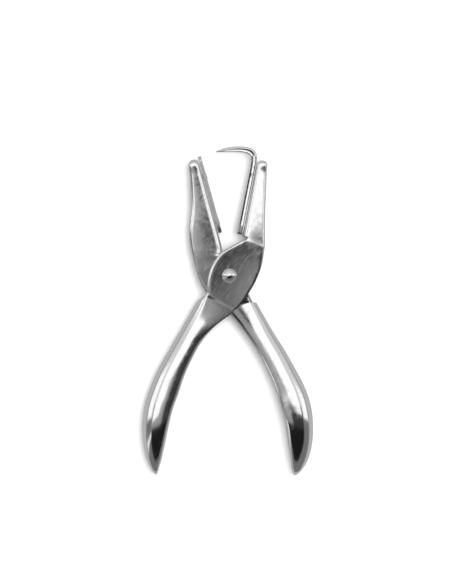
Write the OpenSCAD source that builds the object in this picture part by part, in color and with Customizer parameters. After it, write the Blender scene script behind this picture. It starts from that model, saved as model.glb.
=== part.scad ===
// Plier-type staple remover: two crossing pressed-steel levers on one rivet.
// Lies flat on its back face; the pivot axis is Z and the jaws point along +Y.

/* [Levers] */
// Thickness of the lever sheet
sheet = 1.2; // [1:0.1:1.3]
// Height of the middle plane above the table
mid_height = 7; // [6.8:0.1:8]
// Half depth of the outer lever at the pivot, outside to middle plane
outer_half = 5.6; // [5.5:0.05:5.8]
// Side gap between the two nested levers
nest_gap = 0.15; // [0.1:0.01:0.2]
// Radius of the curled edges on the open side
curl_radius = 1.5; // [1.3:0.1:1.7]
// Half width of the slot along the back of a jaw
jaw_slot = 1.3; // [1:0.1:1.6]
// How far a handle's curled edges reach in from its faces
handle_curl = 2.6; // [2:0.1:3]
// How far a handle's open side swells out past its rows, half way along
handle_swell = 0.8; // [0:0.1:1]

/* [Pivot] */
// Radius of the rivet shank
shank_radius = 1.9; // [1.6:0.05:2]
// Running clearance on the radius of a bore
bore_clearance = 0.04; // [0.01:0.01:0.08]
// Radius of the domed rivet head
head_radius = 2.9; // [2.6:0.1:3.2]
// Height of the domed rivet head
head_height = 1.7; // [1.3:0.1:2]
// Radius of the flat end of the rivet's closed tail
tail_radius = 2.5; // [2.3:0.1:2.8]
// Outer radius of the spacer sleeve
sleeve_radius = 2.8; // [2.6:0.05:2.9]

/* [Spring] */
// Diameter of the spring wire
wire = 0.8; // [0.7:0.05:0.85]
// Mean radius of the coil
coil_radius = 3.6; // [3.4:0.1:3.8]
// Whole turns of the coil
coil_turns = 4; // [3:1:4]

/* [Hook and anvil] */
// Thickness of the hook's sheet
hook_sheet = 0.9; // [0.7:0.05:1]
// Half width of the hook's trough, outside
hook_half = 2.9; // [2.7:0.1:3]
// Depth of the hook's side walls
hook_depth = 2.4; // [2:0.1:2.5]
// Thickness of the anvil plate
anvil_thickness = 1.4; // [1.2:0.05:1.5]
// Half width of the anvil plate
anvil_half = 1.7; // [1.4:0.05:1.75]
// Shank radius of the four small rivets
pin_radius = 0.75; // [0.6:0.05:0.8]

/* [Hidden] */
$fn = 48;

inner_half = outer_half - sheet - nest_gap;   // outside of the inner lever's cheeks
steps = 2;                                    // smooth steps between two shape rows
corner_steps = 4;                             // steps round a bend of the sheet
face_gap = 0.05;                              // between the hook and its jaw
anvil_gap = 0.25;                             // between the anvil plate and its jaw
hook_corner = 0.95;                           // outside bend radius of the hook's trough
pin_head_radius = 1.3;
pin_head = 0.5;                               // height of a small rivet's inner head
face_head = 0.2;                              // height of its head on the fitted piece
coil_gap = 0.5;                               // between the spring and the inner lever's cheeks
coil_segments = 16;                           // straight pieces in one turn of the spring
anvil_start = 3.6;                            // lower end of the anvil plate, up its wall
anvil_length = 31.6;
anvil_nose = 0.6;                             // half width of the anvil plate's tip
anvil_taper = 1.5;                            // length of the taper at the tip
bore_reach = 2.5;                             // half length of a small bore's cutter
overcut = 1;                                  // how far a cutter runs past the metal
sleeve_play = 0.05;                           // between the sleeve's ends and the cheeks
tail_chamfer = 0.4;                           // on the radius, under the rivet's tail
wire_sides = 8;                               // sides of the spring wire
least_flat = 0.1;                             // flat metal left between two bends
least_slot = 0.15;                            // half width of the narrowest slot

// The mouth-side wall of each jaw is flat: its lowest point and its lean from +Y
outer_foot = [5.5, 16];
outer_lean = 11;
inner_foot = [-3.6, 13.6];
inner_lean = -15.4;

// Shape rows, jaw nose to pivot, round the pivot, and pivot to handle tip:
// [wall side x, y, open side x, y, half depth, wall bend radius]
outer_jaw = [
    [12.1, 46.1, 14.2, 46.0, 2.7, 1],
    concat(up_wall(outer_foot, outer_lean, 29.2), [15.1, 44.6, 3.8, 1.5]),
    concat(up_wall(outer_foot, outer_lean, 25.8), [14.9, 40.8, 4.0, 1.6]),
    concat(up_wall(outer_foot, outer_lean, 18.8), [14.6, 33.6, 4.4, 1.7]),
    concat(up_wall(outer_foot, outer_lean, 11.6), [14.3, 26.2, 4.9, 1.8]),
    concat(up_wall(outer_foot, outer_lean, 4.4), [14.2, 18.6, 5.5, 1.9]),
    concat(up_wall(outer_foot, outer_lean, 0), [14.2, 12.6, outer_half, 2])];
outer_middle = [for (row = [
    [4.9, 14.1, 13.9, 10.2],
    [0.6, 11.6, 13.1, 5.2],
    [-3.6, 9.0, 11.7, 0.7],
    [-6.7, 4.6, 10.2, -2.8],
    [-8.3, 0.0, 8.2, -6.2],
    [-8.8, -3.6, 5.9, -9.8],
    [-8.9, -6.8, 3.4, -12.7]]) concat(row, [outer_half, 0])];
outer_handle = [
    [-12.7, -9.9, 0.5, -15.3, outer_half, 4.2],
    [-16.0, -15.5, -6.2, -20.2, outer_half, 4.4],
    [-20.0, -22.5, -11.6, -26.2, 5.8, 4.7],
    [-24.2, -29.7, -15.4, -32.6, 6.2, 5],
    [-28.0, -36.4, -18.6, -39.4, 6.5, 5.3],
    [-31.4, -44.0, -21.1, -46.6, 6.7, 5.6],
    [-33.7, -51.0, -23.4, -53.0, 6.9, 5.8],
    [-34.7, -58.4, -24.9, -59.2, 7.0, 5.8],
    [-34.5, -65.6, -26.1, -65.6, 6.4, 5.4],
    [-33.2, -72.4, -27.4, -72.6, 4.9, 4],
    [-31.4, -76.9, -28.5, -77.3, 3.2, 1.6],
    [-29.9, -79.2, -29.0, -79.4, 1.2, 0.6]];
inner_jaw = [
    [-13.2, 46.5, -15.2, 46.4, 2.2, 1],
    concat(up_wall(inner_foot, inner_lean, 32.4), [-16.3, 44.4, 3.6, 1.5]),
    concat(up_wall(inner_foot, inner_lean, 28.4), [-16.0, 40.4, 3.7, 1.6]),
    concat(up_wall(inner_foot, inner_lean, 21.2), [-15.5, 33.6, 3.8, 1.7]),
    concat(up_wall(inner_foot, inner_lean, 13.6), [-15.4, 26.4, 3.95, 1.8]),
    concat(up_wall(inner_foot, inner_lean, 6.2), [-16.2, 18.8, inner_half, 1.9]),
    concat(up_wall(inner_foot, inner_lean, -0.6), [-15.8, 12.6, inner_half, 2]),
    concat(up_wall(inner_foot, inner_lean, -4.6), [-14.7, 7.4, inner_half, 2])];
inner_middle = [for (row = [
    [0.8, 8.6, -13.9, 4.2],
    [4.2, 7.4, -13.1, 1.2],
    [7.0, 4.6, -11.9, -2.0],
    [8.2, 1.0, -10.4, -4.9],
    [8.2, -3.0, -8.4, -7.4],
    [7.7, -6.6, -5.2, -10.2],
    [7.4, -8.8, -2.6, -12.2]]) concat(row, [inner_half, 0])];
inner_handle = [
    [10.8, -10.6, -0.6, -14.2, inner_half, 3.2],
    [14.3, -16.8, 4.6, -20.4, 4.4, 3.6],
    [18.0, -23.1, 9.4, -26.7, 4.8, 4.2],
    [22.3, -29.9, 13.6, -33.4, 5.3, 4.6],
    [26.2, -36.8, 17.0, -40.1, 5.8, 5.1],
    [29.8, -43.6, 19.8, -46.8, 6.3, 5.6],
    [32.3, -50.6, 21.7, -53.2, 6.8, 5.8],
    [33.4, -58.0, 23.2, -59.2, 7.0, 5.8],
    [33.2, -66.0, 24.2, -66.4, 6.4, 5.4],
    [31.6, -72.9, 24.9, -73.4, 4.9, 4],
    [29.0, -77.4, 25.4, -77.8, 3.2, 1.6],
    [26.8, -79.5, 25.8, -79.7, 1.2, 0.6]];

// Path of the hook's back face: [x, y, wall depth, half width]
hook_path = [
    concat(off_wall(outer_foot, outer_lean, 0.5, face_gap), [hook_depth, hook_half]),
    concat(off_wall(outer_foot, outer_lean, 15, face_gap), [hook_depth, hook_half]),
    concat(off_wall(outer_foot, outer_lean, 28, face_gap), [hook_depth, hook_half]),
    [11.1, 46.6, hook_depth, hook_half],
    [11, 48.4, hook_depth, hook_half],
    [10.1, 50, hook_depth, hook_half],
    [8.5, 51.1, 2.3, hook_half],
    [5.6, 51.7, 2.1, 2.7],
    [1.8, 51.7, 1.9, 2.1],
    [-1.9, 51.1, 1.4, 1.3],
    [-5.4, 49.9, 0.5, 0.35]];

// Small rivets: distance up the wall from its foot
hook_pins = [6, 25];
anvil_pins = [8, 27];

// Ends of the spring's legs, inside each handle's rounded wall
outer_leg_end = [-16, -19.3];
inner_leg_end = [13, -19.3];

function up_wall(foot, lean, d) = [foot.x + d * sin(lean), foot.y + d * cos(lean)];
// A point d up the wall and g off it, towards the mouth
function off_wall(foot, lean, d, g) =
    up_wall(foot, lean, d) - sign(lean) * g * [cos(lean), -sin(lean)];

// Smooth curve through rows of numbers, at t counted in rows
function clamp(list, i) = list[max(0, min(len(list) - 1, i))];
function cubic(a, b, c, d, u) =
    b + (c - a) * u / 2 + (a - 2.5 * b + 2 * c - d / 2) * u * u
    + (1.5 * (b - c) + (d - a) / 2) * u * u * u;
function smooth_rows(rows, n) =
    [for (k = [0:(len(rows) - 1) * n])
        let (i = min(floor(k / n), len(rows) - 2), u = k / n - i)
        cubic(clamp(rows, i - 1), rows[i], rows[i + 1], clamp(rows, i + 2), u)];

// A handle's rows with the open side swelled out, most of all half way along
function swelled(rows) =
    [for (k = [0:len(rows) - 1])
        let (row = rows[k], wall = [row[0], row[1]], open = [row[2], row[3]],
             out = handle_swell * sin(180 * k / (len(rows) - 1)),
             q = open + out * (open - wall) / norm(open - wall))
        concat(wall, q, [row[4], row[5]])];

// One cross-section of a bent sheet as 3-D points, at a depth under its outer skin.
// It runs from one free edge, over a face, round the wall and back to the other edge.
// Round the pivot the wall bend radius is 0 and only the two flat faces are used.
function arc(cx, cz, r, from) =
    [for (k = [0:corner_steps]) let (a = from + 90 * k / corner_steps)
        [cx + r * cos(a), cz + r * sin(a)]];
function channel_section(row, slot, depth) =
    let (wall = [row[0], row[1]], across = [row[2], row[3]] - wall, w = norm(across),
         h = row[4], flat = row[5] == 0, r = flat ? 0 : min(row[5], h - least_flat, w * 0.6),
         c = flat ? 0 : min(curl_radius, h * 0.45, w * 0.38, h - slot - least_flat),
         d = flat ? depth : min(depth, 0.8 * min(r, c)),
         gap = max(least_slot, min(slot, h - c - least_flat)),
         profile = concat([[w - d, gap]], arc(w - c, h - c, c - d, 0), arc(r, h - r, r - d, 90),
             arc(r, r - h, r - d, 180), arc(w - c, c - h, c - d, 270), [[w - d, -gap]]))
    [for (p = profile) let (q = wall + across / w * p.x) [q.x, q.y, mid_height + p.y]];
function trough_section(place, inward, w, h, depth) =
    let (r = min(hook_corner, h * 0.9, w * 0.9), d = min(depth, 0.9 * r),
         flat = concat([[w, h - d]], arc(r, h - r, r - d, 90), arc(r, r - h, r - d, 180),
             [[w, d - h]]))
    [for (p = flat) let (q = place + inward * p.x) [q.x, q.y, mid_height + p.y]];

// A sheet with thickness: two grids of points, joined along every free edge.
// Between rows first and last only the columns in kept are sheet; elsewhere all are.
module bent_sheet(outside, inside, flip, first = -1, last = -1, kept = []) {
    n = len(outside);
    m = len(outside[0]);
    function is_sheet(i, j) = i >= 0 && i < n - 1 && j >= 0 && j < m - 1
        && (i < first || i >= last || len(search(j, kept)) > 0);
    function at(side, i, j) = (side * n + i) * m + j;
    function pair(a, b, c, d) = flip ? [[a, b, c], [a, c, d]] : [[a, c, b], [a, d, c]];
    function rim(i, j, k, l) = pair(at(0, i, j), at(1, i, j), at(1, k, l), at(0, k, l));
    faces = [for (i = [0:n - 2], j = [0:m - 2]) if (is_sheet(i, j)) each concat(
        pair(at(0, i, j), at(0, i, j + 1), at(0, i + 1, j + 1), at(0, i + 1, j)),
        pair(at(1, i, j), at(1, i + 1, j), at(1, i + 1, j + 1), at(1, i, j + 1)),
        is_sheet(i - 1, j) ? [] : rim(i, j, i, j + 1),
        is_sheet(i + 1, j) ? [] : rim(i + 1, j + 1, i + 1, j),
        is_sheet(i, j - 1) ? [] : rim(i + 1, j, i, j),
        is_sheet(i, j + 1) ? [] : rim(i, j + 1, i + 1, j + 1))];
    polyhedron(points = [for (grid = [outside, inside], line = grid) each line], faces = faces);
}

// A round wire along a list of points, with one ring of points at each
module round_wire(path, r, sides) {
    n = len(path);
    function ring(i) =
        let (t = clamp(path, i + 1) - clamp(path, i - 1), side = cross(t, [0, 0, 1]),
             u = side / norm(side), v = cross(t, u) / norm(t))
        [for (k = [0:sides - 1]) path[i] + r * (cos(360 * k / sides) * u + sin(360 * k / sides) * v)];
    body = [for (i = [0:n - 2], k = [0:sides - 1])
        let (a = i * sides + k, b = i * sides + (k + 1) % sides)
        each [[a, b, b + sides], [a, b + sides, a + sides]]];
    cap = [for (k = [1:sides - 2]) [0, k + 1, k]];
    far_cap = [for (k = [1:sides - 2]) (n - 1) * sides * [1, 1, 1] + [0, k, k + 1]];
    polyhedron(points = [for (i = [0:n - 1]) each ring(i)], faces = concat(body, cap, far_cap));
}

// A whole lever from its shape rows: a jaw, two flat cheeks round the pivot, a handle
module pressed_lever(jaw, middle, handle, flip) {
    parts = [smooth_rows(jaw, steps), smooth_rows(middle, steps),
        smooth_rows(swelled(handle), steps)];
    first = len(parts[0]) - 1;
    last = len(parts[0]) + len(parts[1]);
    face = corner_steps + 1;
    // A handle's lips start past the crotch, so that the closing handles clear each other
    function lip(k) = sheet + (handle_curl - sheet) * max(0, min(1, k / steps - 1));
    sections = [for (depth = [0, sheet]) [for (p = [0:2], k = [0:len(parts[p]) - 1])
        let (row = parts[p][k])
        channel_section(row, p < 2 ? jaw_slot : row[4] - lip(k), depth)]];
    bent_sheet(sections[0], sections[1], flip, first, last, [face, 3 * face]);
}

// Places its child with its axis through a jaw's wall, pointing into the mouth
module through_wall(foot, lean, d) {
    p = up_wall(foot, lean, d);
    translate([p.x, p.y, mid_height]) rotate([0, 0, lean > 0 ? 180 - lean : -lean])
        rotate([0, 90, 0]) children();
}

module pin_bores(foot, lean, distances) {
    for (d = distances) through_wall(foot, lean, d)
        translate([0, 0, -bore_reach])
            cylinder(r = pin_radius + bore_clearance, h = 2 * bore_reach);
}

module outer_lever() {
    color("silver") difference() {
        pressed_lever(outer_jaw, outer_middle, outer_handle, false);
        cylinder(r = shank_radius + bore_clearance, h = 3 * mid_height);
        pin_bores(outer_foot, outer_lean, hook_pins);
    }
}

module inner_lever() {
    color("gainsboro") difference() {
        pressed_lever(inner_jaw, inner_middle, inner_handle, true);
        cylinder(r = shank_radius + bore_clearance, h = 3 * mid_height);
        pin_bores(inner_foot, inner_lean, anvil_pins);
    }
}

module pivot_rivet() {
    top = mid_height + outer_half;
    foot = mid_height - outer_half;
    dome = (head_radius * head_radius + head_height * head_height) / (2 * head_height);
    color("lightgray") {
        translate([0, 0, foot / 2]) cylinder(r = shank_radius, h = top);
        cylinder(r1 = tail_radius - tail_chamfer, r2 = tail_radius, h = foot / 2);
        translate([0, 0, foot / 2]) cylinder(r = tail_radius, h = foot / 2);
        intersection() {
            translate([0, 0, top + head_height - dome]) sphere(r = dome);
            translate([0, 0, top]) cylinder(r = head_radius + overcut, h = head_height + overcut);
        }
    }
}

module pivot_sleeve() {
    half = inner_half - sheet - sleeve_play;
    color("darkgray") translate([0, 0, mid_height - half]) difference() {
        cylinder(r = sleeve_radius, h = 2 * half);
        translate([0, 0, -overcut])
            cylinder(r = shank_radius + bore_clearance, h = 2 * (half + overcut));
    }
}

module return_spring() {
    // A leg leaves the coil along the tangent that passes through its end
    function tangent_at(p, side) = atan2(p.y, p.x) + side * acos(coil_radius / norm(p));
    start = tangent_at(inner_leg_end, 1);
    turn = tangent_at(outer_leg_end, -1) + 360 * (coil_turns + 1) - start;
    n = ceil(turn / 360 * coil_segments);
    low = mid_height - inner_half + sheet + wire / 2 + coil_gap;
    rise = 2 * (mid_height - low);
    coil = [for (k = [0:n]) let (a = start + turn * k / n)
        [coil_radius * cos(a), coil_radius * sin(a), low + rise * k / n]];
    inner_leg = [inner_leg_end.x, inner_leg_end.y, low];
    outer_leg = [outer_leg_end.x, outer_leg_end.y, low + rise];
    color("slategray") round_wire(concat([inner_leg], coil, [outer_leg]), wire / 2, wire_sides);
}

module hook() {
    fine = smooth_rows(hook_path, 2);
    n = len(fine);
    function flat(v) = [v[0], v[1]];
    function inward(i) =
        let (t = flat(clamp(fine, i + 1)) - flat(clamp(fine, i - 1))) [-t.y, t.x] / norm(t);
    color("lightsteelblue") difference() {
        bent_sheet(
            [for (i = [0:n - 1]) trough_section(flat(fine[i]), inward(i), fine[i][2], fine[i][3], 0)],
            [for (i = [0:n - 1])
                trough_section(flat(fine[i]), inward(i), fine[i][2], fine[i][3], hook_sheet)], false);
        pin_bores(outer_foot, outer_lean, hook_pins);
    }
}

module anvil_plate() {
    shoulder = anvil_length - anvil_taper;
    color("dimgray") difference() {
        through_wall(inner_foot, inner_lean, anvil_start) translate([0, 0, anvil_gap])
            linear_extrude(anvil_thickness)
                polygon([[-anvil_half, 0], [anvil_half, 0], [anvil_half, shoulder],
                    [anvil_nose, anvil_length], [-anvil_nose, anvil_length],
                    [-anvil_half, shoulder]]);
        pin_bores(inner_foot, inner_lean, anvil_pins);
    }
}

// A small rivet: inner head against the lever's sheet, outer head against the fitted piece
module small_rivet(foot, lean, d, grip) {
    through_wall(foot, lean, d) {
        translate([0, 0, -sheet - pin_head]) cylinder(r = pin_head_radius, h = pin_head);
        translate([0, 0, -sheet - pin_head / 2])
            cylinder(r = pin_radius, h = sheet + grip + (pin_head + face_head) / 2);
        translate([0, 0, grip]) cylinder(r = pin_head_radius, h = face_head);
    }
}

module hook_rivet_lower() {
    color("gray") small_rivet(outer_foot, outer_lean, hook_pins[0], face_gap + hook_sheet);
}

module hook_rivet_upper() {
    color("gray") small_rivet(outer_foot, outer_lean, hook_pins[1], face_gap + hook_sheet);
}

module anvil_rivet_lower() {
    color("gray") small_rivet(inner_foot, inner_lean, anvil_pins[0], anvil_gap + anvil_thickness);
}

module anvil_rivet_upper() {
    color("gray") small_rivet(inner_foot, inner_lean, anvil_pins[1], anvil_gap + anvil_thickness);
}

outer_lever();
inner_lever();
pivot_rivet();
pivot_sleeve();
return_spring();
hook();
anvil_plate();
hook_rivet_lower();
hook_rivet_upper();
anvil_rivet_lower();
anvil_rivet_upper();
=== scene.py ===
"""Plier-type staple remover in plated pressed steel, on a plain pale floor.

Lengths in the tables are millimetres in the row frame and become metres in `mesh_object`.
The pivot axis is Z, the jaws point along +Y and the handles along -Y.
"""
import math

import bmesh
import bpy
import numpy as np
from mathutils import Matrix, Vector
from mathutils.bvhtree import BVHTree


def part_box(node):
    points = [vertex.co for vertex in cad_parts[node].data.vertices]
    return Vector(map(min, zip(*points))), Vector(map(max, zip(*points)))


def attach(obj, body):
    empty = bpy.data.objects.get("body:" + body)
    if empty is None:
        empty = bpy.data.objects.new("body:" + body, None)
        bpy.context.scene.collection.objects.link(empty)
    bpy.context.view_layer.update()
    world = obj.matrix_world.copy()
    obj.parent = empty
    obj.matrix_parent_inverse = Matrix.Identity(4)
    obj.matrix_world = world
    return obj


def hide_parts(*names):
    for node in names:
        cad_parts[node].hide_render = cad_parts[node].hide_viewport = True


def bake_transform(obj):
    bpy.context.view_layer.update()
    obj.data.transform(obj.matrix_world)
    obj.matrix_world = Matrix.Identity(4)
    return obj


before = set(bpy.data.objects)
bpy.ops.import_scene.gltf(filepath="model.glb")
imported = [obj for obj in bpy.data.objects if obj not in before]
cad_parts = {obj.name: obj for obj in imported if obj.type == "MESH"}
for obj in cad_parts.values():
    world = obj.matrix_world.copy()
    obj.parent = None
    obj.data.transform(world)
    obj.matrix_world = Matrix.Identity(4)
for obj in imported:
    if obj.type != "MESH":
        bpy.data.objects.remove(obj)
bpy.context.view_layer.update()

MM = 0.001

# ---------------------------------------------------------------- sizes, from the frame


LEVER_LOW, LEVER_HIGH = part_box("outer_lever")
MID = (LEVER_LOW[2] + LEVER_HIGH[2]) / 2 / MM
SHEET = 1.2
OUTER_HALF = 5.6
INNER_HALF = 4.25
HANDLE_SWELL = 0.8
EDGE_ROUND = 0.9
SHANK = 1.9
BORE_CLEARANCE = 0.04
BORE = SHANK + BORE_CLEARANCE
PIN_R = 0.75
# Half length of a small bore's cutter
BORE_REACH = 2.5
# Radius of the curl on a lever's open side
CURL_R = 1.5
# Narrowest half width of the slot between the two lips
LEAST_GAP = 0.15
# Width of the rounding on the edges of the levers, the hook and the anvil plate
LEVER_EDGE, HOOK_EDGE, ANVIL_EDGE = 0.22, 0.12, 0.14

# The mouth-side wall of each jaw is flat: its lowest point and its lean from +Y
OUTER_FOOT, OUTER_LEAN = (5.5, 16.0), math.radians(11)
INNER_FOOT, INNER_LEAN = (-3.6, 13.6), math.radians(-15.4)


def up_wall(foot, lean, distance, off=0.0):
    """A point up a jaw's mouth-side wall, and a distance off it into the mouth."""
    side = -math.copysign(1, lean)
    return (foot[0] + distance * math.sin(lean) + side * off * math.cos(lean),
            foot[1] + distance * math.cos(lean) - side * off * math.sin(lean))


def outer_wall(distance):
    return up_wall(OUTER_FOOT, OUTER_LEAN, distance)


def inner_wall(distance):
    return up_wall(INNER_FOOT, INNER_LEAN, distance)


# ---------------------------------------------------------------- lever shapes
# Rows: wall side x, y, open side x, y, half depth, wall bend radius

OUTER_ROWS = [
    (12.1, 46.1, 14.2, 46.0, 2.7, 1.0),
    (*outer_wall(29.2), 15.1, 44.6, 3.8, 1.5),
    (*outer_wall(25.8), 14.9, 40.8, 4.0, 1.6),
    (*outer_wall(18.8), 14.6, 33.6, 4.4, 1.7),
    (*outer_wall(11.6), 14.3, 26.2, 4.9, 1.8),
    (*outer_wall(4.4), 14.2, 18.6, 5.27, 1.9),
    (*outer_wall(0), 14.2, 12.6, 5.47, 2.0),
    (4.9, 14.1, 13.9, 10.2, 5.55, EDGE_ROUND),
    (0.6, 11.6, 13.1, 5.2, OUTER_HALF, EDGE_ROUND),
    (-3.6, 9.0, 11.7, 0.7, OUTER_HALF, EDGE_ROUND),
    (-6.7, 4.6, 10.2, -2.8, OUTER_HALF, EDGE_ROUND),
    (-8.3, 0.0, 8.2, -6.2, OUTER_HALF, EDGE_ROUND),
    (-8.8, -3.6, 5.9, -9.8, OUTER_HALF, EDGE_ROUND),
    (-8.9, -6.8, 3.4, -12.7, OUTER_HALF, EDGE_ROUND),
    (-12.7, -9.9, 0.5, -15.3, OUTER_HALF, 4.2),
    (-16.0, -15.5, -6.2, -20.2, OUTER_HALF, 4.4),
    (-20.0, -22.5, -11.6, -26.2, 5.8, 4.7),
    (-24.2, -29.7, -15.4, -32.6, 6.2, 5.0),
    (-28.0, -36.4, -18.6, -39.4, 6.5, 5.3),
    (-31.4, -44.0, -21.1, -46.6, 6.7, 5.6),
    (-33.7, -51.0, -23.4, -53.0, 6.9, 5.8),
    (-34.7, -58.4, -24.9, -59.2, 7.0, 5.8),
    (-34.5, -65.6, -26.1, -65.6, 6.4, 5.4),
    (-33.2, -72.4, -27.4, -72.6, 4.9, 4.0),
    (-31.4, -76.9, -28.5, -77.3, 3.2, 1.6),
    (-29.9, -79.2, -29.0, -79.4, 1.2, 0.6),
]
INNER_ROWS = [
    (-13.2, 46.5, -15.2, 46.4, 2.2, 1.0),
    (*inner_wall(32.4), -16.3, 44.4, 3.6, 1.5),
    (*inner_wall(28.4), -16.0, 40.4, 3.7, 1.6),
    (*inner_wall(21.2), -15.5, 33.6, 3.78, 1.7),
    (*inner_wall(13.6), -15.4, 26.4, 3.91, 1.8),
    (*inner_wall(6.2), -16.2, 18.8, 4.05, 1.9),
    (*inner_wall(-0.6), -15.8, 12.6, 4.16, 2.0),
    (*inner_wall(-4.6), -14.7, 7.4, INNER_HALF, 2.0),
    (0.8, 8.6, -13.9, 4.2, INNER_HALF, 0),
    (4.2, 7.4, -13.1, 1.2, INNER_HALF, 0),
    (7.0, 4.6, -11.9, -2.0, INNER_HALF, 0),
    (8.2, 1.0, -10.4, -4.9, INNER_HALF, 0),
    (8.2, -3.0, -8.4, -7.4, INNER_HALF, 0),
    (7.7, -6.6, -5.2, -10.2, INNER_HALF, 0),
    (7.4, -8.8, -2.6, -12.2, INNER_HALF, 0),
    (10.8, -10.6, -0.6, -14.2, INNER_HALF, 3.2),
    (14.3, -16.8, 4.6, -20.4, 4.4, 3.6),
    (18.0, -23.1, 9.4, -26.7, 4.8, 4.2),
    (22.3, -29.9, 13.6, -33.4, 5.3, 4.6),
    (26.2, -36.8, 17.0, -40.1, 5.8, 5.1),
    (29.8, -43.6, 19.8, -46.8, 6.3, 5.6),
    (32.3, -50.6, 21.7, -53.2, 6.8, 5.8),
    (33.4, -58.0, 23.2, -59.2, 7.0, 5.8),
    (33.2, -66.0, 24.2, -66.4, 6.4, 5.4),
    (31.6, -72.9, 24.9, -73.4, 4.9, 4.0),
    (29.0, -77.4, 25.4, -77.8, 3.2, 1.6),
    (26.8, -79.5, 25.8, -79.7, 1.2, 0.6),
]

# How the skin is crowned along each lever:
# row number, tilt at the wall bend and at the curl in degrees, curl (0 to 1), lip gap
OUTER_CROWN = [
    (0, 3, 3, 1, 1.3), (1, 3, 3, 1, 1.3), (3, 3, 3, 1, 1.3), (5, 2, 2, 1, 1.3),
    (6, 1, 1, 1, 1.3), (7, 0.2, 0.3, 0.8, 2.0), (8, -1.2, -1.0, 0.5, 3.2),
    (9, -1.6, -1.6, 0.0, 4.4), (11, -1.6, -1.6, 0.0, 4.4), (12, -1.2, -1.2, 0.0, 4.4),
    (13, -0.4, -0.5, 0.0, 4.4), (14, 1.5, 0, 0.1, 4.4), (15, 6, 0.4, 0.25, 4.4),
    (16, 12, 7, 1, 3.2), (17, 15, 8, 1, 3.2), (25, 15, 8, 1, 3.4),
]
INNER_CROWN = [
    (0, 3, 3, 1, 1.3), (1, 3, 3, 1, 1.3), (3, 2.5, 2, 1, 1.3), (6, 2.5, 2, 1, 1.3),
    (7, 2, 1.5, 0.8, 1.6), (8, 1, 1, 0.4, 2.6), (9, 0.3, 0.3, 0.0, 3.05),
    (11.5, 0.3, 0.3, 0.0, 3.05), (12.5, 0.3, 0.3, 0.5, 3.05), (14, 0.3, 0.3, 0.4, 3.05),
    (14.5, 8, 4, 0.3, 3.0), (15, 14, 7, 0.7, 2.0),
    (16, 15, 8, 1, 1.65), (26, 15, 8, 1, 3.0),
]


def swelled(handle):
    """A handle's rows with the open side swelled out, most of all half way along."""
    rows = []
    for k, (x, y, open_x, open_y, half, bend) in enumerate(handle):
        out = HANDLE_SWELL * math.sin(math.pi * k / (len(handle) - 1))
        width = math.hypot(open_x - x, open_y - y)
        rows.append((x, y, open_x + out * (open_x - x) / width,
                     open_y + out * (open_y - y) / width, half, bend))
    return rows


def smooth_rows(rows, per_row):
    """A smooth curve through rows of numbers; returns (row number, values) pairs."""
    rows = np.array(rows, float)
    found = []
    for k in range((len(rows) - 1) * per_row + 1):
        i = min(k // per_row, len(rows) - 2)
        u = k / per_row - i
        a, b, c, d = rows[max(i - 1, 0)], rows[i], rows[i + 1], rows[min(i + 2, len(rows) - 1)]
        value = (b + (c - a) * u / 2 + (a - 2.5 * b + 2 * c - d / 2) * u * u
                 + (1.5 * (b - c) + (d - a) / 2) * u ** 3)
        found.append((i + u, value))
    return found


CURL_STEPS = 8
CROWN_STEPS = 14
WALL_STEPS = 10
FLATTEST = 1e-4


def half_section(w, h, wall_r, curl_r, tilt_wall, tilt_open, gap, depth):
    """Upper half of a channel section as (across, up) points, from the lip's end to the wall.

    The skin leaves the wall on an arc, crosses a shallow crown and curls down to the lip.
    Where the tilts are negative the crown is a shallow dish.
    With a depth it gives the sheet's inner skin, with the same number of points.
    """
    sin_w, sin_o = math.sin(tilt_wall), math.sin(tilt_open)
    bend = math.copysign(max(abs(sin_w + sin_o), FLATTEST), sin_w + sin_o)
    crown_r = (w - curl_r * (1 - sin_o) - wall_r * (1 - sin_w)) / bend
    centre = (wall_r * (1 - sin_w) + crown_r * sin_w, h - crown_r)
    r = crown_r - depth
    curl, wall = max(curl_r, depth), max(wall_r, depth)
    open_end = w - curl + (curl - depth) * sin_o
    wall_end = wall - (wall - depth) * sin_w

    def crown_z(x):
        return centre[1] + math.copysign(math.sqrt(r * r - (x - centre[0]) ** 2), r)

    points = [(w - depth, gap)]
    z = crown_z(open_end) - (curl - depth) * math.cos(tilt_open)
    for k in range(CURL_STEPS + 1):
        a = (math.pi / 2 - tilt_open) * k / CURL_STEPS
        points.append((w - curl + (curl - depth) * math.cos(a), z + (curl - depth) * math.sin(a)))
    for k in range(1, CROWN_STEPS):
        x = open_end + (wall_end - open_end) * k / CROWN_STEPS
        points.append((x, crown_z(x)))
    z = crown_z(wall_end) - (wall - depth) * math.cos(tilt_wall)
    for k in range(WALL_STEPS + 1):
        a = math.pi / 2 + tilt_wall + (math.pi / 2 - tilt_wall) * k / WALL_STEPS
        points.append((wall + (wall - depth) * math.cos(a), z + (wall - depth) * math.sin(a)))
    return points


CROWN_FIRST = 1 + CURL_STEPS
CROWN_LAST = CROWN_FIRST + CROWN_STEPS
HALF_POINTS = CROWN_LAST + WALL_STEPS + 1


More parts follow.
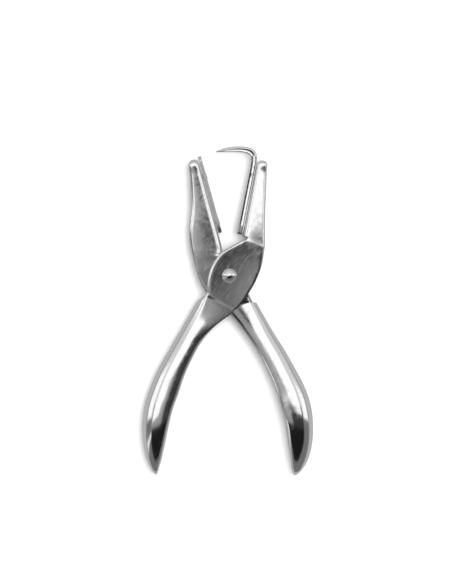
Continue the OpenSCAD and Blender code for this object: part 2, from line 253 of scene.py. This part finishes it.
def lever_grid(stations, crown, bow, bead):
    """The two skins of a lever as rows of points, with the row numbers they belong to."""
    table = np.array(crown, float)
    skins = ([], [])
    for station, row in stations:
        wall, across = np.array(row[0:2]), np.array(row[2:4]) - np.array(row[0:2])
        w, h, wall_r = float(np.linalg.norm(across)), row[4] + bead(station), max(row[5], 0)
        across /= w
        tilt_wall, tilt_open, curled, gap = (np.interp(station, table[:, 0], table[:, k])
                                             for k in range(1, 5))
        sheet = min(SHEET, 0.42 * w, 0.6 * h)
        wall_r = min(wall_r, h - 0.1, w * 0.5)
        curl_r = min(CURL_R, h * 0.45, w * 0.38) * curled
        gap = min(gap, h - max(curl_r, sheet) - 0.02)
        lift = bow(station)
        lifted_from = max(wall_r, 1.5)
        for skin, depth in zip(skins, (0, sheet)):
            half = half_section(w, h, wall_r, curl_r, math.radians(tilt_wall),
                                math.radians(tilt_open), max(gap, LEAST_GAP), depth)
            line = []
            for x, z in half + [(x, -z) for x, z in reversed(half)]:
                t = np.clip(x / lifted_from, 0, 1)
                share = t * t * (3 - 2 * t) * np.clip((w - x) / (w - lifted_from), 0, 1)
                place = wall + across * x + lift * share
                line.append((place[0], place[1], MID + z))
            skin.append(line)
    return skins


def sheet_mesh(name, skins, is_sheet, flip):
    """A bent sheet with thickness from two grids of points, closed along every free edge."""
    n, m = len(skins[0]), len(skins[0][0])
    vertices = [p for skin in skins for line in skin for p in line]

    def at(side, i, j):
        return (side * n + i) * m + j

    def solid(i, j):
        return 0 <= i < n - 1 and 0 <= j < m - 1 and is_sheet(i, j)

    faces = []
    for i in range(n - 1):
        for j in range(m - 1):
            if not solid(i, j):
                continue
            ring = [(i, j), (i, j + 1), (i + 1, j + 1), (i + 1, j)]
            faces.append([at(0, *p) for p in ring])
            faces.append([at(1, *p) for p in reversed(ring)])
            neighbours = [(i - 1, j), (i, j + 1), (i + 1, j), (i, j - 1)]
            for k, beside in enumerate(neighbours):
                if not solid(*beside):
                    a, b = ring[k], ring[(k + 1) % 4]
                    faces.append([at(0, *b), at(0, *a), at(1, *a), at(1, *b)])
    if not flip:
        faces = [list(reversed(f)) for f in faces]
    piece = mesh_object(name, vertices, faces)
    grid = np.array(skins[0])
    along = np.cumsum(np.concatenate([[0], np.linalg.norm(np.diff(grid.mean(1), axis=0), axis=1)]))
    wide = np.cumsum(np.concatenate([[0], np.linalg.norm(np.diff(grid.mean(0), axis=0), axis=1)]))
    store(piece, "along", np.tile(np.repeat(along, m), 2))
    store(piece, "across", np.tile(np.tile(wide, n), 2))
    return piece


def mesh_object(name, vertices, faces):
    mesh = bpy.data.meshes.new(name)
    mesh.from_pydata([tuple(c * MM for c in v) for v in vertices], [], faces)
    mesh.validate()
    piece = bpy.data.objects.new(name, mesh)
    bpy.context.scene.collection.objects.link(piece)
    return piece


def store(piece, name, values):
    attribute = piece.data.attributes.new(name, "FLOAT", "POINT")
    attribute.data.foreach_set("value", np.array(values, np.float32))


def finish_mesh(piece, bevel, segments=3, angle=35, smooth=40):
    """Merge doubled points, round the sharp edges and shade the rest smooth.

    Where crowded edges throw a rounded point off the sheet, it goes back onto it.
    """
    bm = bmesh.new()
    bm.from_mesh(piece.data)
    bmesh.ops.remove_doubles(bm, verts=bm.verts, dist=1e-6)
    bmesh.ops.recalc_face_normals(bm, faces=bm.faces)
    bm.to_mesh(piece.data)
    skin = BVHTree.FromBMesh(bm)
    bm.free()
    if bevel:
        rounding = piece.modifiers.new("rounding", "BEVEL")
        rounding.width = bevel * MM
        rounding.segments = segments
        rounding.limit_method = "ANGLE"
        rounding.angle_limit = math.radians(angle)
        rounding.use_clamp_overlap = False
        apply_modifiers(piece)
        for vertex in piece.data.vertices:
            nearest, normal, face, distance = skin.find_nearest(vertex.co)
            if distance > bevel * MM / 2:
                vertex.co = nearest
    piece.data.polygons.foreach_set("use_smooth", [True] * len(piece.data.polygons))
    piece.data.set_sharp_from_angle(angle=math.radians(smooth))
    return piece


def apply_modifiers(piece):
    bpy.context.view_layer.update()
    evaluated = piece.evaluated_get(bpy.context.evaluated_depsgraph_get())
    mesh = bpy.data.meshes.new_from_object(evaluated)
    piece.modifiers.clear()
    old, piece.data = piece.data, mesh
    bpy.data.meshes.remove(old)


def lathe(name, profile, matrix, sides=48):
    """A turned piece from (radius, height) points, axis along the matrix's Z."""
    vertices, faces = [], []
    for r, z in profile:
        for k in range(sides):
            a = 2 * math.pi * k / sides
            vertices.append(tuple(matrix @ Vector((r * math.cos(a), r * math.sin(a), z))))
    for i in range(len(profile) - 1):
        for k in range(sides):
            a, b = i * sides + k, i * sides + (k + 1) % sides
            faces.append([a, b, b + sides, a + sides])
    return mesh_object(name, vertices, faces)


def cut_bores(piece, cutters):
    for cutter in cutters:
        cut = piece.modifiers.new("bore", "BOOLEAN")
        cut.operation = "DIFFERENCE"
        cut.solver = "EXACT"
        cut.object = cutter
    apply_modifiers(piece)
    for cutter in cutters:
        bpy.data.objects.remove(cutter)


def through_wall(foot, lean, distance):
    """Matrix of a place on a jaw's wall: Z into the mouth, origin on the wall's outer face."""
    x, y = up_wall(foot, lean, distance)
    turn = math.pi - lean if lean > 0 else -lean
    return (Matrix.Translation((x, y, MID)) @ Matrix.Rotation(turn, 4, "Z")
            @ Matrix.Rotation(math.pi / 2, 4, "Y"))


def bore(radius, low, high, matrix=Matrix.Identity(4), sides=48):
    """A plain rod that cuts a bore."""
    profile = [(0, low), (radius, low), (radius, high), (0, high)]
    return finish_mesh(lathe("bore", profile, matrix, sides), 0)


def pivot_bore():
    return bore(BORE, -1, 3 * MID)


def pin_bores(foot, lean, distances):
    return [bore(PIN_R + BORE_CLEARANCE, -BORE_REACH, BORE_REACH, through_wall(foot, lean, d), 24)
            for d in distances]


# Small rivets: distance up the wall from its foot
HOOK_PINS = (6, 25)
ANVIL_PINS = (8, 27)


def bow_share(station, start):
    """Rises smoothly over the row after start and dies away in the row and a half after it."""
    rise = np.clip(station - start, 0, 1)
    return rise * rise * (3 - 2 * rise) * np.clip((start + 2.5 - station) / 1.5, 0, 1)


def outer_bow(station):
    """The wall bend of the handle reaches up towards the pivot."""
    return np.array([0.1, 1.8]) * bow_share(station, 13)


def inner_bow(station):
    return np.array([-0.2, 1.0]) * bow_share(station, 14)


def nose_bead(station):
    """A low rib across the nose of a jaw."""
    return 0.15 * math.exp(-((station - 0.8) / 0.3) ** 2) if station < 2 else 0


def build_lever(name, rows, break_row, web_rows, curl_rows, roll_rows, crown, bow, flip):
    """A lever's sheet. The handle starts at break_row, and web_rows and curl_rows are cut away.

    Over roll_rows the cheeks keep a rounded front edge.
    """
    handle = swelled(rows[break_row:])
    stations = smooth_rows(rows[:break_row], 6)
    last = stations[-1][1]
    for k in range(1, 4):
        stations.append((break_row - 1 + k / 4, last + (np.array(handle[0]) - last) * k / 4))
    stations += [(s + break_row, v) for s, v in smooth_rows(handle, 8)]
    numbers = [s for s, v in stations]
    skins = lever_grid(stations, crown, bow, nose_bead)

    def is_sheet(i, j):
        k = min(j, 2 * HALF_POINTS - 2 - j)
        if CROWN_FIRST <= k < CROWN_LAST:
            return True
        middle = (numbers[i] + numbers[i + 1]) / 2
        if k < CROWN_FIRST:
            return not curl_rows[0] < middle < curl_rows[1]
        rounded = roll_rows[0] < middle < roll_rows[1] and k < HALF_POINTS - 1
        return rounded or not web_rows[0] < middle < web_rows[1]

    return sheet_mesh(name, skins, is_sheet, flip)


def outer_lever():
    piece = build_lever("outer_lever_pressing", OUTER_ROWS, 14, (6, 14), (9, 13.5),
                        (7, 14), OUTER_CROWN, outer_bow, True)
    finish_mesh(piece, 0)
    cut_bores(piece, [pivot_bore(), *pin_bores(OUTER_FOOT, OUTER_LEAN, HOOK_PINS)])
    finish_mesh(piece, LEVER_EDGE)
    return done(piece, "outer", "outer_lever", LEVER_METAL)


def inner_lever():
    piece = build_lever("inner_lever_pressing", INNER_ROWS, 15, (7, 15), (9, 14.5),
                        (0, 0), INNER_CROWN, inner_bow, False)
    finish_mesh(piece, 0)
    cut_bores(piece, [pivot_bore(), *pin_bores(INNER_FOOT, INNER_LEAN, ANVIL_PINS)])
    finish_mesh(piece, LEVER_EDGE)
    return done(piece, "inner", "inner_lever", LEVER_METAL)


# ---------------------------------------------------------------- hook and anvil

HOOK_SHEET, HOOK_HALF, HOOK_DEPTH, HOOK_CORNER, FACE_GAP = 0.9, 2.9, 2.4, 0.95, 0.05
ANVIL_START, ANVIL_GAP, ANVIL_THICK = 3.6, 0.25, 1.4
ANVIL_HALF, ANVIL_LENGTH, ANVIL_NOSE, ANVIL_TAPER = 1.7, 31.6, 0.6, 1.5


def hook_wall(distance):
    return up_wall(OUTER_FOOT, OUTER_LEAN, distance, FACE_GAP)


# Path of the hook's back face: x, y, wall depth, half width
HOOK_ROWS = [
    (*hook_wall(0.5), HOOK_DEPTH, HOOK_HALF),
    (*hook_wall(15), HOOK_DEPTH, HOOK_HALF),
    (*hook_wall(28), HOOK_DEPTH, HOOK_HALF),
    (11.1, 46.6, HOOK_DEPTH, HOOK_HALF),
    (11.0, 48.4, HOOK_DEPTH, HOOK_HALF),
    (10.1, 50.0, HOOK_DEPTH, HOOK_HALF),
    (8.5, 51.1, 2.3, HOOK_HALF),
    (5.6, 51.7, 2.1, 2.7),
    (1.8, 51.7, 1.9, 2.1),
    (-1.9, 51.1, 1.4, 1.3),
    (-5.4, 49.9, 0.5, 0.35),
]
# Drawing groove along a side wall: place and width as shares of the wall's depth, and depth
GROOVE_PLACE, GROOVE_WIDTH, GROOVE_DEPTH = 0.68, 0.17, 0.1
# How far a side wall leans in at its free edge
HOOK_LEAN = 0.08
# Punch marks on the side walls: x, y, radius
HOOK_MARKS = ((9.8, 42.9, 0.3), (8.7, 39.7, 0.35))
MARK_DEPTH = 0.18
# The lower end is pressed in: over how many rows, and how far
TAIL_ROWS, TAIL_DROP = 0.3, 0.22
GROOVE_STEPS, BEND_STEPS, BACK_STEPS = 16, 6, 4


def trough_section(depth, half, skin, strength):
    """The hook's section as (into the mouth, up) points, from one free edge to the other."""
    r = min(HOOK_CORNER, depth * 0.9, half * 0.9)
    inset = min(skin, 0.9 * r)
    upper = []
    for k in range(GROOVE_STEPS):
        x = depth + (r - depth) * k / GROOVE_STEPS
        groove = GROOVE_DEPTH * math.exp(-((x / depth - GROOVE_PLACE) / GROOVE_WIDTH) ** 2)
        upper.append((x, half - inset - strength * groove - HOOK_LEAN * x / depth))
    for k in range(BEND_STEPS + 1):
        a = math.pi / 2 * (1 + k / BEND_STEPS)
        upper.append((r + (r - inset) * math.cos(a), half - r + (r - inset) * math.sin(a)))
    back = [(upper[-1][0], upper[-1][1] * (1 - 2 * k / BACK_STEPS)) for k in range(1, BACK_STEPS)]
    return upper + back + [(x, -z) for x, z in reversed(upper)]


def hook():
    """The trough along the right jaw, turned over its nose and tapered to the beak."""
    stations = smooth_rows(HOOK_ROWS, 16)
    places = np.array([row[:2] for s, row in stations])
    skins = ([], [])
    for i, (station, row) in enumerate(stations):
        ahead = places[min(i + 1, len(places) - 1)] - places[max(i - 1, 0)]
        inward = np.array([-ahead[1], ahead[0]]) / np.linalg.norm(ahead)
        tail = max(0, 1 - station / TAIL_ROWS)
        strength = np.clip((station - TAIL_ROWS) / 0.06, 0, 1) * (row[2] / HOOK_DEPTH) ** 2
        for skin, depth in zip(skins, (0, HOOK_SHEET)):
            line = []
            for x, z in trough_section(row[2], row[3] - TAIL_DROP * tail, depth, strength):
                place = row[:2] + inward * x
                mark = sum(math.exp(-(math.dist(place, spot) / wide) ** 2)
                           for *spot, wide in HOOK_MARKS)
                z -= math.copysign(min(MARK_DEPTH * mark, abs(z)), z)
                line.append((place[0], place[1], MID + z))
            skin.append(line)
    piece = sheet_mesh("hook_pressing", skins, lambda i, j: True, True)
    finish_mesh(piece, 0)
    cut_bores(piece, pin_bores(OUTER_FOOT, OUTER_LEAN, HOOK_PINS))
    finish_mesh(piece, HOOK_EDGE)
    return done(piece, "outer", "hook", HOOK_METAL)


def loft(name, rings):
    """A closed skin over rings of points, with both ends capped."""
    m = len(rings[0])
    faces = [[i * m + k, i * m + (k + 1) % m, (i + 1) * m + (k + 1) % m, (i + 1) * m + k]
             for i in range(len(rings) - 1) for k in range(m)]
    faces += [list(range(m))[::-1], [(len(rings) - 1) * m + k for k in range(m)]]
    return mesh_object(name, [p for ring in rings for p in ring], faces)


def anvil_plate():
    """A flat plate with broken edges, its lower end coined down and its tip tapered."""
    matrix = through_wall(INNER_FOOT, INNER_LEAN, ANVIL_START)
    shoulder = ANVIL_LENGTH - ANVIL_TAPER
    coined, lowered = 2.4, 0.25
    widths = [(0, ANVIL_HALF - lowered), (coined, ANVIL_HALF - 0.02), (coined + 0.3, ANVIL_HALF)]
    widths += [(coined + 0.3 + (shoulder - coined - 0.3) * k / 20, ANVIL_HALF)
               for k in range(1, 21)]
    widths.append((ANVIL_LENGTH, ANVIL_NOSE))
    rings = []
    for up, half in widths:
        ring = [(-half, up, ANVIL_GAP), (half, up, ANVIL_GAP),
                (half, up, ANVIL_GAP + ANVIL_THICK), (-half, up, ANVIL_GAP + ANVIL_THICK)]
        rings.append([tuple(matrix @ Vector(p)) for p in ring])
    piece = finish_mesh(loft("anvil_plate_steel", rings), 0)
    cut_bores(piece, pin_bores(INNER_FOOT, INNER_LEAN, ANVIL_PINS))
    finish_mesh(piece, ANVIL_EDGE)
    return done(piece, "inner", "anvil_plate", ANVIL_METAL)


# ---------------------------------------------------------------- rivets, sleeve and spring

HEAD_R, HEAD_H, TAIL_R, TAIL_CHAMFER = 2.9, 1.7, 2.5, 0.4
SLEEVE_R, SLEEVE_PLAY = 2.8, 0.05
WIRE, COIL_R, COIL_TURNS, COIL_GAP = 0.8, 3.6, 4, 0.5
OUTER_LEG_END, INNER_LEG_END = (-16.0, -19.3), (13.0, -19.3)


def pivot_rivet():
    """Domed head in front, plain shank, and a closed tail flush with the table side."""
    top, foot = MID + OUTER_HALF, MID - OUTER_HALF
    dome = (HEAD_R ** 2 + HEAD_H ** 2) / (2 * HEAD_H)
    profile = [(0, 0), (TAIL_R - TAIL_CHAMFER, 0), (TAIL_R, foot / 2), (TAIL_R, foot),
               (SHANK, foot), (SHANK, top), (HEAD_R - 0.08, top), (HEAD_R, top + 0.08)]
    for k in range(1, 25):
        r = HEAD_R * (1 - k / 24)
        profile.append((r, top + HEAD_H - dome + math.sqrt(dome ** 2 - r ** 2)))
    piece = finish_mesh(lathe("pivot_rivet_domed", profile, Matrix.Identity(4), 64), 0)
    return done(piece, "outer", "pivot_rivet", RIVET_METAL)


def pivot_sleeve():
    half = INNER_HALF - SHEET - SLEEVE_PLAY
    broken = 0.2
    profile = [(BORE, -half), (SLEEVE_R - broken, -half), (SLEEVE_R, broken - half),
               (SLEEVE_R, half - broken), (SLEEVE_R - broken, half), (BORE, half), (BORE, -half)]
    matrix = Matrix.Translation((0, 0, MID))
    piece = finish_mesh(lathe("pivot_sleeve_turned", profile, matrix, 48), 0)
    return done(piece, "outer", "pivot_sleeve", SPRING_METAL)


def return_spring():
    """A leg in the inner handle, the coil round the sleeve, and a leg in the outer handle."""
    def tangent_at(p, side):
        return math.atan2(p[1], p[0]) + side * math.acos(COIL_R / math.hypot(*p))

    low = MID - INNER_HALF + SHEET + WIRE / 2 + COIL_GAP
    rise = 2 * (MID - low)
    start = tangent_at(INNER_LEG_END, 1)
    turn = tangent_at(OUTER_LEG_END, -1) + 2 * math.pi * (COIL_TURNS + 1) - start
    n = math.ceil(turn / (2 * math.pi) * 40)
    coil = [np.array([COIL_R * math.cos(start + turn * k / n),
                      COIL_R * math.sin(start + turn * k / n), low + rise * k / n])
            for k in range(n + 1)]
    first, last = np.array([*INNER_LEG_END, low]), np.array([*OUTER_LEG_END, low + rise])
    leg = 12
    path = [first + (coil[0] - first) * k / leg for k in range(leg)] + coil
    path += [coil[-1] + (last - coil[-1]) * k / leg for k in range(1, leg + 1)]
    rings = []
    for i, place in enumerate(path):
        ahead = path[min(i + 1, len(path) - 1)] - path[max(i - 1, 0)]
        side = np.cross(ahead, (0, 0, 1))
        side /= np.linalg.norm(side)
        up = np.cross(side, ahead) / np.linalg.norm(ahead)
        rings.append([tuple(place + WIRE / 2 * (math.cos(a) * side + math.sin(a) * up))
                      for a in (2 * math.pi * k / 14 for k in range(14))])
    piece = finish_mesh(loft("return_spring_wire", rings), 0)
    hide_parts("return_spring")
    dress(piece, SPRING_METAL)
    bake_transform(piece)
    return piece


def small_rivet(node, body, foot, lean, distance, grip):
    """A pin with a head at each end, both with a softened rim."""
    head, high, low, rim = 1.3, 0.5, 0.2, 0.25
    inside, outside = -SHEET - high, grip + low
    profile = [(0, inside), (head - rim, inside), (head - rim * 0.3, inside + rim * 0.3),
               (head, inside + rim), (head, -SHEET), (PIN_R, -SHEET), (PIN_R, grip), (head, grip),
               (head - rim * 0.2, grip + low * 0.6), (head - rim, outside), (0, outside)]
    matrix = through_wall(foot, lean, distance)
    piece = finish_mesh(lathe(node + "_pin", profile, matrix, 32), 0)
    return done(piece, body, node, ANVIL_METAL)


def done(piece, body, node, material):
    """Dress a rigid piece, hide the CAD node it stands for and ride it on its body."""
    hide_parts(node)
    dress(piece, material)
    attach(piece, body)
    return piece


def dress(piece, material):
    piece.data.materials.clear()
    piece.data.materials.append(material)


# ---------------------------------------------------------------- node helpers


class Nodes:
    """Short ways to add nodes to a tree and to join them."""

    def __init__(self, tree):
        self.tree = tree
        tree.nodes.clear()

    def add(self, kind, inputs=None, **settings):
        node = self.tree.nodes.new(kind)
        for key, value in settings.items():
            setattr(node, key, value)
        for key, value in (inputs or {}).items():
            self.put(node.inputs[key], value)
        return node

    def put(self, socket, value):
        if isinstance(value, bpy.types.NodeSocket):
            self.tree.links.new(value, socket)
        else:
            socket.default_value = value

    def math(self, operation, a, b=0.0):
        return self.add("ShaderNodeMath", {0: a, 1: b}, operation=operation).outputs[0]

    def step(self, value, low, high, at_low=0.0, at_high=1.0):
        """Smooth change from at_low, below low, to at_high, above high."""
        node = self.add("ShaderNodeMapRange", {0: value, 1: low, 2: high, 3: at_low, 4: at_high},
                        interpolation_type="SMOOTHSTEP")
        return node.outputs[0]

    def mix(self, share, a, b):
        """Number a where share is 0 and b where it is 1."""
        node = self.add("ShaderNodeMix", {0: share, 2: a, 3: b}, data_type="FLOAT")
        return node.outputs[0]


def studio_world():
    """A studio of soft lights, by direction: x, y, and off, the sine of the angle off the zenith.

    Overhead it is grey at the left and dark at the right. A softbox hangs over the jaws' side,
    a light wall stands low beyond it, a grey panel is at the left, a light panel stands at each
    side and a low strip light at the lower left. The side below the handles is dark.
    """
    world = bpy.data.worlds.new("studio")
    world.use_nodes = True
    bpy.context.scene.world = world
    n = Nodes(world.node_tree)
    direction = n.add("ShaderNodeTexCoord").outputs["Generated"]
    axes = n.add("ShaderNodeSeparateXYZ", {0: direction}).outputs
    x, y, z = axes[0], axes[1], axes[2]
    off = n.math("SQRT", n.math("ADD", n.math("MULTIPLY", x, x), n.math("MULTIPLY", y, y)))
    slant = n.math("DIVIDE", y, n.math("MAXIMUM", off, 0.001))

    level = n.step(x, -0.08, 0.05, 0.38, 0.045)
    level = n.mix(n.step(y, -0.09, -0.16), level, 0.012)
    level = n.mix(n.step(off, 0.58, 0.66), level, 0.2)
    strip = n.math("MULTIPLY", n.step(slant, -0.46, -0.4), n.step(slant, -0.24, -0.3))
    strip = n.math("MULTIPLY", strip, n.step(x, -0.5, -0.6))
    level = n.mix(strip, level, 0.95)
    reach = n.math("ADD", n.math("MULTIPLY", slant, 1.3), off)
    beyond = n.math("MULTIPLY", n.step(reach, 0.95, 1.05), n.step(off, 0.22, 0.32))
    level = n.mix(beyond, level, 0.8)
    panel = n.math("MULTIPLY", n.step(y, 0.025, 0.05), n.step(x, -0.04, -0.1))
    level = n.mix(n.math("MULTIPLY", panel, n.step(off, 0.56, 0.5)), level, 0.45)
    to_left = n.math("MAXIMUM", n.math("MULTIPLY", x, -0.25), 0.0)
    softbox = n.math("MULTIPLY", n.step(n.math("ADD", y, to_left), 0.095, 0.12),
                     n.step(off, 0.58, 0.52))
    level = n.mix(softbox, level, 1.4)
    walls = n.step(n.math("ABSOLUTE", x), 0.6, 0.7)
    walls = n.math("MULTIPLY", walls, n.math("MULTIPLY", n.step(y, 0.02, 0.12),
                                             n.step(y, 0.42, 0.34)))
    level = n.mix(walls, level, 1.3)
    level = n.mix(n.step(z, 0.22, 0.12), level, 0.36)

    rays = n.add("ShaderNodeLightPath").outputs
    level = n.mix(rays["Is Diffuse Ray"], level, 0.88)
    level = n.mix(rays["Is Camera Ray"], level, 0.95)
    background = n.add("ShaderNodeBackground", {"Strength": level})
    n.add("ShaderNodeOutputWorld", {0: background.outputs[0]})


def metal(name, colour, roughness, drawn, wave=1.0, grain=1.0):
    """Bright metal: drawing lines, fine scratches, uneven plating and lighter worn edges.

    Drawn metal has its lines along the sheet; turned metal has them round the Z axis.
    The lengths are millimetres. wave and grain scale how far the surface and its lines stand.
    """
    material = bpy.data.materials.new(name)
    material.use_nodes = True
    n = Nodes(material.node_tree)
    at = n.add("ShaderNodeTexCoord").outputs["Object"]
    place = n.add("ShaderNodeVectorMath", {0: at, 3: 1 / MM}, operation="SCALE").outputs[0]
    if drawn:
        across = n.add("ShaderNodeAttribute", attribute_name="across").outputs["Fac"]
        along = n.add("ShaderNodeAttribute", attribute_name="along").outputs["Fac"]
        lines = n.add("ShaderNodeCombineXYZ", {0: across, 1: along}).outputs[0]
    else:
        lines = place

    def noise(vector, scale, detail=2.0):
        stretched = n.add("ShaderNodeVectorMath", {0: vector, 1: scale}, operation="MULTIPLY")
        return n.add("ShaderNodeTexNoise", {"Vector": stretched.outputs[0], "Scale": 1.0,
                                            "Detail": detail}).outputs[0]

    fine = noise(lines, (7.0, 0.25, 0.25) if drawn else (3.0, 3.0, 0.4), 3.0)
    broad = noise(place, (0.16, 0.16, 0.16))
    cloudy = noise(place, (0.6, 0.6, 0.6), 4.0)
    turned = n.add("ShaderNodeVectorRotate", {"Vector": place, "Angle": 0.6}).outputs[0]
    scratch = n.step(noise(turned, (5.0, 0.18, 1.0), 1.0), 0.66, 0.7)
    worn = n.step(n.add("ShaderNodeNewGeometry").outputs["Pointiness"], 0.53, 0.6)

    rough = n.math("ADD", n.step(cloudy, 0.3, 0.7, roughness * 0.8, roughness * 1.35),
                   n.math("MULTIPLY", n.math("SUBTRACT", fine, 0.5), 0.10 * grain))
    rough = n.math("ADD", rough, n.math("MULTIPLY", scratch, 0.12))
    rough = n.mix(n.math("MULTIPLY", worn, 0.5), rough, roughness + 0.12)
    dull = n.math("ADD", n.math("MULTIPLY", n.step(cloudy, 0.4, 0.75), 0.3),
                  n.math("MULTIPLY", n.step(fine, 0.45, 0.75), 0.25))
    tone = n.add("ShaderNodeMix", {0: dull, 6: (*colour, 1),
                                   7: (*(0.86 * c for c in colour), 1)}, data_type="RGBA")
    bright = n.add("ShaderNodeMix", {0: n.math("MULTIPLY", worn, 0.6), 6: tone.outputs[2],
                                     7: (0.97, 0.97, 0.97, 1)}, data_type="RGBA")
    swell = n.add("ShaderNodeBump", {"Strength": 1.0, "Distance": 8e-6 * wave, "Height": broad})
    ridges = n.add("ShaderNodeBump", {"Strength": 1.0, "Distance": 0.8e-6 * grain, "Height": fine,
                                      "Normal": swell.outputs[0]})
    nicks = n.add("ShaderNodeBump", {"Strength": 1.0, "Distance": 1.2e-6, "Height": scratch,
                                     "Normal": ridges.outputs[0]}, invert=True)
    shader = n.add("ShaderNodeBsdfPrincipled", {
        "Base Color": bright.outputs[2], "Metallic": 1.0, "Roughness": rough,
        "Normal": nicks.outputs[0]})
    n.add("ShaderNodeOutputMaterial", {0: shader.outputs[0]})
    return material


def floor():
    """A white card, evenly white to the eye; where it is seen in the plating its colour is painted
    darker, 0.32 against 0.9, a painted shade on its reflections.
    """
    reach = 4000
    piece = mesh_object("floor", [(-reach, -reach, 0), (reach, -reach, 0), (reach, reach, 0),
                                  (-reach, reach, 0)], [[0, 1, 2, 3]])
    material = bpy.data.materials.new("card")
    material.use_nodes = True
    n = Nodes(material.node_tree)
    reflection_shade_share = n.add("ShaderNodeLightPath").outputs["Is Glossy Ray"]
    # Painted shade: the card's colour drops to 0.32 in reflections, which paints darker floor
    # reflections on the plating.
    colour = n.add("ShaderNodeMix", {0: reflection_shade_share, 6: (0.9, 0.9, 0.9, 1), 7: (0.32, 0.32, 0.32, 1)},
                   data_type="RGBA").outputs[2]
    shader = n.add("ShaderNodeBsdfPrincipled", {"Base Color": colour, "Roughness": 0.8,
                                                "Specular IOR Level": 0.1})
    n.add("ShaderNodeOutputMaterial", {0: shader.outputs[0]})
    piece.data.materials.append(material)


def key_light():
    """Soft key from the upper right, which throws the soft shadow to the left."""
    lamp = bpy.data.lights.new("key", "AREA")
    lamp.shape = "DISK"
    lamp.size = 0.55
    lamp.energy = 13
    light = bpy.data.objects.new("key", lamp)
    bpy.context.scene.collection.objects.link(light)
    light.location = (0.17, 0.07, 1.2)
    light.rotation_euler = (-light.location).to_track_quat("-Z", "Y").to_euler()
    light.visible_glossy = False
    light.visible_camera = False


def camera():
    data = bpy.data.cameras.new("camera")
    data.lens = 135
    data.sensor_width = 36
    piece = bpy.data.objects.new("camera", data)
    bpy.context.scene.collection.objects.link(piece)
    piece.location = (-1.36 * MM, -6.4 * MM, 883 * MM)
    bpy.context.scene.camera = piece


camera()
studio_world()
floor()
key_light()
bpy.context.scene.view_settings.view_transform = "Standard"

LEVER_METAL = metal("lever_plate", (0.93, 0.93, 0.94), 0.1, True)
HOOK_METAL = metal("hook_plate", (0.93, 0.93, 0.94), 0.12, True, wave=0.3, grain=0.5)
RIVET_METAL = metal("rivet_plate", (0.93, 0.93, 0.94), 0.09, False)
ANVIL_METAL = metal("brushed_steel", (0.74, 0.74, 0.76), 0.3, False, wave=0.2, grain=0.3)
SPRING_METAL = metal("spring_wire", (0.62, 0.62, 0.64), 0.22, False, grain=1.5)

outer_lever()
inner_lever()
hook()
anvil_plate()
pivot_rivet()
pivot_sleeve()
return_spring()
for place, distance in zip(("lower", "upper"), HOOK_PINS):
    small_rivet("hook_rivet_" + place, "outer", OUTER_FOOT, OUTER_LEAN, distance,
                FACE_GAP + HOOK_SHEET)
for place, distance in zip(("lower", "upper"), ANVIL_PINS):
    small_rivet("anvil_rivet_" + place, "inner", INNER_FOOT, INNER_LEAN, distance,
                ANVIL_GAP + ANVIL_THICK)
